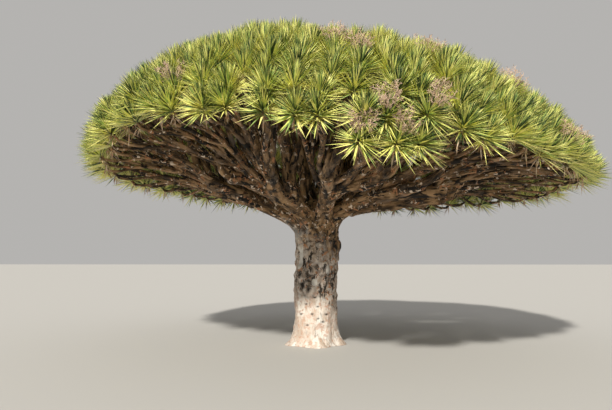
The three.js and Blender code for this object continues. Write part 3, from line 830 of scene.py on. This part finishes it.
class Twigs:
    """The branches and twigs of all masses, and the rosettes at their ends."""

    def __init__(self):
        self.branches = Soup()
        self.twigs = Soup()
        self.rosettes = []

    def limb(self, points, radius, taper, level, key):
        """One stretch of a branch or twig, with its knobs."""
        radii = []
        for i in range(len(points)):
            knob = 1 + TWIG_KNOBS * stray(*key, i, 41)
            radii.append(lerp(radius, taper * radius, i / (len(points) - 1)) * knob)
        soup = self.branches if level < BRANCH_LEVELS else self.twigs
        soup.tube(points, radii, TWIG_SIDES[level])

    def grow(self, mass, cell, start, way, tips, level, key):
        """A branch from start towards its cell, which forks until each end has one rosette."""
        if level >= BRANCH_LEVELS and cell_size(cell) < ROSETTE_SPACE:
            self.end(mass, cell, start, way, tips, level, key)
            return
        angle, azimuth = middle_of(cell)
        angle = mass.lowered(angle, azimuth)
        target = under(angle, azimuth, ROSETTE_DEPTH)
        fork = start.lerp(target, FORK_SHARES[level])
        loose = FORK_WANDER * (target - start).length
        fork += loose * Vector((stray(*key, 6), stray(*key, 7), FORK_WANDER_UP * stray(*key, 8)))
        onward = (target - fork).normalized()
        arriving = (onward + FORK_KEEPS * (fork - start).normalized()).normalized()
        points = bend(start, way, fork, arriving, TWIG_STEPS[level])
        swell = RIB_SWELL if angle > RIB_ANGLE else 1
        self.limb(points, swell * radius_for(tips), BRANCH_TAPER, level, key)
        for side, half in enumerate(halves(cell)):
            root = fork - arriving * FORK_SUNK * radius_for(tips)
            self.grow(mass, half, root, arriving, tips / 2, level + 1, (*key, side + 1))

    def end(self, mass, cell, start, way, tips, level, key):
        """The last twig of a branch, with its rosette."""
        azimuth = lerp(cell.first, cell.last, 0.5 + CELL_STRAY * stray(*key, 4))
        angle = mass.lowered(lerp(cell.top, cell.bottom, 0.5 + CELL_STRAY * stray(*key, 3)), azimuth)
        at = under(angle, azimuth, ROSETTE_DEPTH + DEPTH_STRAY * stray(*key, 5))
        axis = leaf_axis(angle, azimuth, key)
        points = bend(start, way, at, axis, TWIG_STEPS[level])
        self.limb(points, radius_for(tips), TWIG_TAPER, level, key)
        self.rosettes.append(Rosette(at, axis, key, angle, azimuth, cell_size(cell)))

    def grow_mass(self, mass):
        """A branch to each part of a mass: the rim's lower half is cut finer, for its many ribs."""
        upper, lower = sorted(halves(mass.cell), key=lambda half: half.bottom)
        if mass.rim:
            parts = [part for half in azimuth_halves(lower) for part in azimuth_halves(half)]
            parts += azimuth_halves(upper)
            shares = [1 / 8] * 4 + [1 / 4] * 2
        else:
            parts = [part for half in (lower, upper) for part in halves(half)]
            shares = [1 / 4] * 4
        for n, (part, start_share, share) in enumerate(zip(parts, STARTS[mass.kind], shares)):
            start, way = point_on(mass.line, start_share)
            self.grow(mass, part, start - way * BRANCH_SUNK, way, mass.tips * share, 0, (mass.number, n))


def leaf_axis(angle, azimuth, key):
    """The way that a rosette looks: more upright than its place on the dome."""
    share = lerp(AXIS_SHARE["top"], AXIS_SHARE["rim"], smoothstep(angle, *AXIS_BAND))
    awry = Vector([stray(*key, use) for use in (6, 7, 8)])
    return (heading(share * angle, azimuth) + AXIS_STRAY * awry).normalized()


# Leaves


def living_leaves(rosette, rng):
    """For each leaf of a rosette: its start, way, flat side's way, length, width, droop and tone."""
    n = LEAVES
    share = (np.arange(n) + rng.uniform(0, 1, n)) / n
    rim = smoothstep(rosette.angle, *RIM_BAND)
    hanging = bell(turned(rosette.azimuth, HANGING["azimuth"]) / HANGING["width"])
    outer = lerp(LEAN_OUTER["top"], lerp(LEAN_OUTER["rim"], LEAN_OUTER["hanging"], hanging), rim)
    lean = np.radians(LEAN_INNER + (outer - LEAN_INNER) * share + rng.normal(0, LEAN_STRAY, n))
    turn = np.radians(GOLDEN_TURN * np.arange(n) + rng.uniform(-TURN_STRAY, TURN_STRAY, n))
    axis = np.array(rosette.axis)
    out = spokes(rosette.axis, turn)
    way = np.cos(lean)[:, None] * axis + np.sin(lean)[:, None] * out
    start = np.array(rosette.at) + axis * (TUFT_LENGTH * (TUFT_AHEAD - share))[:, None] + way * LEAF_OUT
    longest = 1 - HANGING["shorter"] * hanging * rim + ROOM_LONGER * (rosette.room - ROSETTE_SPACE)
    length = longest * lerp(*LEAF_LENGTH, np.sqrt(share)) * rng.uniform(*LENGTH_STRAY, n)
    width = LEAF_WIDTH * rng.uniform(*WIDTH_STRAY, n)
    droop = DROOP["all"] + DROOP["rim"] * share * rim + DROOP["outer"] * share
    droop *= rng.uniform(*DROOP["stray"], n)
    shaded = rim * max(math.sin(rad(rosette.azimuth)), 0)
    own = TONE["middle"] + TONE["rosette"] * stray(*rosette.key, 71)
    own -= TONE["rim"] * rim
    own -= TONE["shaded"] * shaded
    tone = own + TONE["outer"] * (share - 0.5) + rng.normal(0, TONE["leaf"], n)
    return start, way, np.cross(axis, out), length, width, droop, tone


def dry_leaves(rosette, rng):
    """The same for the dry leaves under it."""
    n = DRY["leaves"]
    lean = np.radians(rng.uniform(*DRY["lean"], n))
    turn = rng.uniform(0, 2 * math.pi, n)
    out = np.stack([np.cos(turn), np.sin(turn), np.zeros(n)], 1)
    below = rng.uniform(*DRY["below"], n)
    start = np.array(rosette.at) - np.array(rosette.axis) * below[:, None]
    way = np.sin(lean)[:, None] * out - np.cos(lean)[:, None] * np.array((0, 0, 1))
    length = rng.uniform(*DRY["length"], n)
    width = LEAF_WIDTH * rng.uniform(*DRY["width"], n)
    droop = rng.uniform(*DRY["droop"], n)
    return start, way, np.cross((0, 0, 1), out), length, width, droop, np.full(n, DRY["tone"])


def leaf_arrays(rosettes):
    """The leaves of all rosettes, as one array for each of their values."""
    rng = np.random.default_rng(LEAF_SEED)
    tufts = [living_leaves(rosette, rng) for rosette in rosettes]
    tufts += [dry_leaves(rosette, rng) for rosette in rosettes if rosette.angle >= DRY["from"]]
    return [np.concatenate(arrays) for arrays in zip(*tufts)]


def leaf_mesh(name, starts, ways, sides, lengths, widths, droops):
    """Keeled blades: four faces between the root, the two edges and the keel at the widest, and the tip."""
    lengths, widths, droops = (values[:, None] for values in (lengths, widths, droops))
    up_face = np.cross(ways, sides)
    up_face /= np.linalg.norm(up_face, axis=1)[:, None]
    bent = np.array((0, 0, -1)) * (droops * lengths)
    widest = starts + ways * (lengths * LEAF_WIDEST) + bent * LEAF_WIDEST**2
    spread = sides * (widths / 2)
    keel = up_face * (widths / 2 * LEAF_KEEL)
    tips = starts + ways * lengths + bent
    corners = (starts, widest - spread + keel, widest - keel, widest + spread + keel, tips)
    vertices = np.stack(corners, 1).reshape(-1, 3)
    pattern = np.array(((0, 2, 1), (0, 3, 2), (1, 2, 4), (2, 3, 4)))
    triangles = (pattern[None] + len(corners) * np.arange(len(starts))[:, None, None]).reshape(-1, 3)
    mesh = bpy.data.meshes.new(name)
    mesh.from_pydata(vertices.tolist(), [], triangles.tolist(), shade_flat=False)
    return mesh


# Materials


class Shader:
    """A material's nodes, made and joined by short calls."""

    def __init__(self, name, roughness):
        self.material = bpy.data.materials.new(name)
        self.material.use_nodes = True
        self.tree = self.material.node_tree
        self.surface = self.tree.nodes["Principled BSDF"]
        self.surface.inputs["Roughness"].default_value = roughness
        self.place = self.node("TexCoord").outputs["Object"]

    def node(self, kind, inputs=(), **values):
        """A new node with its own values, and its inputs by name or number."""
        node = self.tree.nodes.new("ShaderNode" + kind)
        for key, value in values.items():
            setattr(node, key, value)
        for key, value in dict(inputs).items():
            self.set(node.inputs[key], value)
        return node

    def set(self, socket, value):
        """Gives a socket what another one puts out, or a colour, or a number."""
        if hasattr(value, "is_output"):
            self.tree.links.new(value, socket)
        else:
            socket.default_value = (*value, 1) if isinstance(value, tuple) else value

    def attribute(self, name, output="Vector"):
        return self.node("Attribute", attribute_name=name).outputs[output]

    def noise(self, scale, detail=4, place=None, roughness=0.55, distortion=0.0):
        inputs = {"Vector": place or self.place, "Scale": scale, "Detail": detail}
        inputs |= {"Roughness": roughness, "Distortion": distortion}
        return self.node("TexNoise", inputs).outputs["Fac"]

    def cells(self, scale, place):
        inputs = {"Vector": place, "Scale": scale}
        return self.node("TexVoronoi", inputs, feature="DISTANCE_TO_EDGE").outputs["Distance"]

    def between(self, value, low, high, out_low=0.0, out_high=1.0):
        inputs = enumerate((value, low, high, out_low, out_high))
        return self.node("MapRange", inputs, clamp=True).outputs["Result"]

    def math(self, operation, a, b):
        return self.node("Math", {0: a, 1: b}, operation=operation).outputs["Value"]

    def mix(self, share, a, b):
        return self.node("Mix", {0: share, 6: a, 7: b}, data_type="RGBA").outputs[2]

    def patches(self, ground, colour, value, edges, shares=(0, 1)):
        """A colour over a ground, by its shares at two values of a pattern."""
        return self.mix(self.between(value, *edges, *shares), ground, colour)

    def ramp(self, value, *stops):
        node = self.node("ValToRGB")
        elements = node.color_ramp.elements
        while len(elements) < len(stops):
            elements.new(0.5)
        for element, (place, colour) in zip(elements, stops):
            element.position = place
            element.color = (*colour, 1)
        self.set(node.inputs["Fac"], value)
        return node.outputs["Color"]

    def along(self, axis):
        """The place along an axis."""
        return self.node("SeparateXYZ", {0: self.place}).outputs[axis]

    def colour(self, value):
        self.set(self.surface.inputs["Base Color"], value)

    def bump(self, height, distance):
        node = self.node("Bump", {"Distance": distance, "Height": height})
        self.set(self.surface.inputs["Normal"], node.outputs["Normal"])


# Bark colours
WHITISH = (0.71, 0.67, 0.61)
CREAM = (0.6, 0.52, 0.45)
PALE = (0.48, 0.38, 0.3)
PINKISH = (0.46, 0.28, 0.2)
GREY = (0.26, 0.21, 0.17)
UMBER = (0.1, 0.075, 0.055)
TAN = (0.42, 0.26, 0.13)
BROWN = (0.17, 0.098, 0.042)
DEEP_BROWN = (0.04, 0.023, 0.01)
# reddish bark; in the clusters of the upper bark, partly painted highlights
RUST_AND_HIGHLIGHT = (0.44, 0.2, 0.09)
DARK = (0.01, 0.007, 0.004)
# pale flakes, partly painted highlights
FLAKE_AND_HIGHLIGHT = (0.8, 0.66, 0.52)


def low_bark(s):
    """Cream bark with paler and pinkish patches, and grey marks."""
    grain = s.attribute("grain")
    low = s.patches(CREAM, PALE, s.noise(5.5, 5, roughness=0.6), (0.4, 0.6))
    low = s.patches(low, WHITISH, s.noise(7, 5, grain, 0.6), (0.5, 0.62), (0, 0.85))
    low = s.patches(low, PINKISH, s.noise(9, 4, distortion=0.6), (0.55, 0.65), (0, 0.75))
    low = s.patches(low, PINKISH, s.noise(17, 3, distortion=0.4), (0.57, 0.62), (0, 0.7))
    return s.patches(low, GREY, s.noise(20, 4, grain, 0.65), (0.36, 0.42), (0.7, 0))


def middle_bark(s):
    """Rough grey-brown bark with dark, pale and reddish patches, and pale streaks."""
    middle = s.ramp(s.noise(9, 3, roughness=0.6, distortion=0.5), (0.4, UMBER), (0.47, GREY), (0.54, PALE))
    middle = s.patches(middle, CREAM, s.noise(8, 3, roughness=0.6, distortion=0.9), (0.51, 0.55))
    middle = s.patches(middle, RUST_AND_HIGHLIGHT, s.noise(12, 2, distortion=0.8), (0.6, 0.63), (0, 0.9))
    middle = s.patches(middle, DARK, s.noise(15, 4, s.attribute("grain"), 0.65), (0.4, 0.44), (0.95, 0))
    streaked = s.math("ADD", s.attribute("pale", "Fac"), s.noise(12, 4, roughness=0.65))
    return s.patches(middle, WHITISH, streaked, (0.95, 1.05))


def high_bark(s):
    """Brown bark with ridges along the limb, dark cracks, and clusters of pale and rusty bits, partly flaking
    bark and partly painted highlights.
    """
    grain = s.attribute("grain")
    high = s.ramp(s.noise(9, 5, grain, 0.6), (0.4, DEEP_BROWN), (0.5, BROWN), (0.6, TAN))
    high = s.patches(high, GREY, s.noise(4, 4), (0.5, 0.66), (0, 0.3))
    high = s.patches(high, DARK, s.noise(13, 4, grain, 0.6, 0.3), (0.43, 0.47), (1, 0))
    # clusters of pale and rusty bits: partly flaking bark, partly painted highlights of sunlit bits
    clusters = s.between(s.noise(2.6, 3), 0.44, 0.54)
    rust_and_highlights = s.between(s.noise(12, 2, distortion=0.8), 0.6, 0.63)
    high = s.mix(s.math("MULTIPLY", rust_and_highlights, clusters), high, RUST_AND_HIGHLIGHT)
    flakes_and_highlights = s.between(s.noise(15, 2, distortion=0.5), 0.61, 0.64)
    return s.mix(s.math("MULTIPLY", flakes_and_highlights, clusters), high, FLAKE_AND_HIGHLIGHT)


BARK_ROUGHNESS = 0.9
BARK_BUMP = 0.02
# On the trunk, the height at which the bark turns rough, and at which it turns as on the boughs
TURNS_ROUGH = (1.4, 1.52)
TURNS_BROWN = (2.15, 2.6)
TURNS_WANDER = 1.1
LOWER_RIGHT = 0.5  # how much lower that is, for each metre to the right


def bark_material(name, bough):
    """Bark of the boughs, or of the trunk: pale low down, rough half way, and as on the boughs above."""
    s = Shader(name, BARK_ROUGHNESS)
    grain = s.attribute("grain")
    colour = high_bark(s)
    if not bough:
        edge = s.math("ADD", s.along("Z"), s.math("MULTIPLY", s.noise(3.2, 5, distortion=0.8), TURNS_WANDER))
        edge = s.math("ADD", edge, s.math("MULTIPLY", s.along("X"), LOWER_RIGHT))
        colour = s.mix(s.between(edge, *TURNS_BROWN), middle_bark(s), colour)
        colour = s.mix(s.between(edge, *TURNS_ROUGH), low_bark(s), colour)
        # painted shade, dark in the slits and in the dents and creases of the healed wounds
        colour = s.mix(s.attribute("scar", "Fac"), colour, DARK)
    s.colour(colour)
    s.bump(s.math("ADD", s.noise(24, 6, grain, 0.7), s.math("MULTIPLY", s.cells(20, grain), 0.8)), BARK_BUMP)
    return s.material


LEAF_ROUGHNESS = 0.45
LEAF_GLOSS = 0.4
LEAF_BUMP = 0.0015
VEIN_SHADE = 0.8  # of the leaf's own colour


def leaf_material(name, colour, other, clump):
    """Two colours that take turns from clump to clump, with darker veins."""
    s = Shader(name, LEAF_ROUGHNESS)
    base = s.patches(colour, other, s.noise(clump, 3), (0.4, 0.6))
    veins = tuple(VEIN_SHADE * c for c in colour)
    s.colour(s.patches(base, veins, s.noise(70, 3), (0.35, 0.65), (0, 0.5)))
    s.surface.inputs["Specular IOR Level"].default_value = LEAF_GLOSS
    s.bump(s.noise(160, 2), LEAF_BUMP)
    return s.material


LEAF_TONES = (
    # up to this tone, its name, its two colours and the scale at which they take turns
    # painted shade: near-black leaves, more of them inner ones, that stand for the shade in the gaps between
    # the leaves
    (0.30, "deep", (0.035, 0.07, 0.025), (0.06, 0.1, 0.035), 4.5),
    (0.45, "green", (0.32, 0.47, 0.14), (0.4, 0.5, 0.14), 4.5),
    (0.63, "light", (0.76, 0.82, 0.23), (0.82, 0.8, 0.22), 4.5),
    (0.82, "bright", (0.92, 0.92, 0.3), (0.95, 0.89, 0.29), 4.5),
    (9.00, "yellow", (0.94, 0.88, 0.28), (0.95, 0.87, 0.38), 4.5),
    (99.0, "dry", (0.74, 0.62, 0.45), (0.52, 0.26, 0.12), 14),
)


def make_leaves(rosettes):
    """A piece of each tone's leaves, with its material."""
    *shapes, tones = leaf_arrays(rosettes)
    pieces = []
    lowest = -math.inf
    for highest, name, *colours in LEAF_TONES:
        chosen = (tones > lowest) & (tones <= highest)
        lowest = highest
        mesh = leaf_mesh("leaves_" + name, *(values[chosen] for values in shapes))
        pieces.append((new_object(mesh), leaf_material("leaf_" + name, *colours)))
    return pieces


# Flower stalks

# Where the photo shows them, as angle and azimuth on the dome. More of them are seeded at its back
PANICLE_PLACES = (
    (86.5, -84), (87, -77), (82.5, -80), (79, -74), (70, -85), (64.3, -87.9), (62, -68), (70, -52),
    (84, -41), (77, -117), (82, -150),
)
PANICLE_SHARE = 0.02  # of the rosettes at the back
FORK_RADII = (0.0035, 0.0025)
# Stalks, their twigs and those twigs' tips: how many, from which share of the one before it on, their
# length, their lean and turn off it, and their radii
PANICLE = (
    (7, 0, (0.33, 0.44), (8, 34), (360 / 7, 18), (0.006, 0.005, 0.003)),
    (9, 0.45, (0.06, 0.11), (35, 75), (GOLDEN_TURN, 40), FORK_RADII),
    (4, 0.3, (0.04, 0.04), (40, 70), (150, 50), FORK_RADII),
)
PANICLE_SEEDS = ((81, 82, 83), (85, 84, 86), (88, 87, 89))  # of their turn, lean and length
PANICLE_SIDES = 3


def panicle(soup, start, end, way, key, level=0):
    """Dried stalks off the line from start to end, which fork twice more."""
    if level == len(PANICLE):
        return
    count, first, lengths, leans, (turn, turn_stray), radii = PANICLE[level]
    for n in range(count):
        own = (*key, n)
        turn_seed, lean_seed, length_seed = PANICLE_SEEDS[level]
        root = start.lerp(end, lerp(first, 1, n / count))
        lean = lerp(*leans, seeded(*own, lean_seed))
        out = leaning(way, lean, turn * n + turn_stray * stray(*own, turn_seed))
        tip = root + out * lerp(*lengths, seeded(*own, length_seed))
        points = [root.lerp(tip, i / (len(radii) - 1)) for i in range(len(radii))]
        soup.tube(points, radii, PANICLE_SIDES)
        panicle(soup, root, tip, out, own, level + 1)


def panicle_bearers(rosettes):
    """The rosettes nearest to the named places, and a share of those at the back."""
    bearers = {min(rosettes, key=lambda rosette: off_place(rosette, *place)) for place in PANICLE_PLACES}
    back = [rosette for rosette in rosettes if math.sin(rad(rosette.azimuth)) > 0]
    bearers |= {rosette for rosette in back if seeded(*rosette.key, 80) < PANICLE_SHARE}
    return [rosette for rosette in rosettes if rosette in bearers]


def off_place(rosette, angle, azimuth):
    """How far a rosette is from a place, as seen from the fork point."""
    return (bearing(rosette.angle, rosette.azimuth) - bearing(angle, azimuth)).length


STALK_BROWN = (0.42, 0.27, 0.18)
STALK_STRAW = (0.57, 0.43, 0.32)
STALK_ROUGHNESS = 0.85
STALK_BUMP = 0.002


def panicle_material():
    s = Shader("dried_stalks", STALK_ROUGHNESS)
    s.colour(s.patches(STALK_BROWN, STALK_STRAW, s.noise(30, 3), (0.4, 0.6)))
    s.bump(s.noise(90, 2), STALK_BUMP)
    return s.material


# Floor, light and camera

PHOTO = {"width": 612, "height": 410, "focal": 600, "horizon": 250, "trunk_axis": 315}  # in pixels
EYE = Vector((0, -11.1, 1.7))
SENSOR_WIDTH = 36
FURTHEST_SEEN = 200
FLOOR_HALF = 60.0
FLOOR_COLOUR = (0.47, 0.46, 0.44)
FLOOR_ROUGHNESS = 0.8
KEY = {"height": 33.5, "azimuth": -106, "strength": 5.0, "spread": 3.5, "colour": (1, 0.96, 0.88)}
ROOM = {"strength": 0.46, "colour": (1.0, 0.98, 0.95)}


def make_floor():
    soup = Soup()
    corners = [(x * FLOOR_HALF, y * FLOOR_HALF, 0) for x, y in ((-1, -1), (1, -1), (1, 1), (-1, 1))]
    soup.add(corners, [(0, 1, 2, 3)])
    floor = new_object(soup.mesh("floor"))
    s = Shader("floor_paint", FLOOR_ROUGHNESS)
    s.colour(FLOOR_COLOUR)
    floor.data.materials.append(s.material)


def set_light():
    """A soft key from in front, a little to the left, over a pale room."""
    world = bpy.data.worlds.new("studio")
    bpy.context.scene.world = world
    world.use_nodes = True
    background = world.node_tree.nodes["Background"]
    background.inputs["Color"].default_value = (*ROOM["colour"], 1)
    background.inputs["Strength"].default_value = ROOM["strength"]
    sun = bpy.data.lights.new("key", "SUN")
    sun.energy = KEY["strength"]
    sun.angle = rad(KEY["spread"])
    sun.color = KEY["colour"]
    holder = new_object(sun)
    from_sun = -bearing(90 - KEY["height"], KEY["azimuth"])
    holder.rotation_euler = from_sun.to_track_quat("-Z", "Y").to_euler()
    bpy.context.scene.view_settings.view_transform = "Standard"


def set_camera():
    camera = bpy.data.cameras.new("camera")
    camera.sensor_width = SENSOR_WIDTH
    camera.lens = SENSOR_WIDTH * PHOTO["focal"] / PHOTO["width"]
    camera.clip_end = FURTHEST_SEEN
    holder = new_object(camera)
    holder.location = EYE
    pitch = math.atan((PHOTO["horizon"] - PHOTO["height"] / 2) / PHOTO["focal"])
    yaw = math.atan((PHOTO["trunk_axis"] - PHOTO["width"] / 2) / PHOTO["focal"])
    holder.rotation_euler = (math.pi / 2 + pitch, 0, yaw)
    bpy.context.scene.camera = holder


def main():
    set_camera()
    make_floor()
    set_light()
    masses = all_masses()

    finish_piece(make_trunk(masses), bark_material("trunk_bark", False), "trunk_bark", ["trunk"])
    bough_bark = bark_material("bough_bark", True)
    finish_piece(make_boughs(masses), bough_bark, "bough_bark", ["bough_" + mass.name for mass in masses])

    twigs = Twigs()
    for mass in masses:
        twigs.grow_mass(mass)
    for name, soup in (("branches", twigs.branches), ("twigs", twigs.twigs)):
        mesh = soup.mesh(name)
        mesh.shade_smooth()
        finish_piece(new_object(mesh), bough_bark, "bough_bark")

    leaves = make_leaves(twigs.rosettes)
    finish_piece(*leaves[0], "foliage", ["foliage_" + mass.name for mass in masses])
    for piece, material in leaves[1:]:
        finish_piece(piece, material, "foliage")

    stalks = Soup()
    for rosette in panicle_bearers(twigs.rosettes):
        panicle(stalks, rosette.at, rosette.at, rosette.axis, rosette.key)
    finish_piece(new_object(stalks.mesh("flower_stalks")), panicle_material(), "foliage")


main()
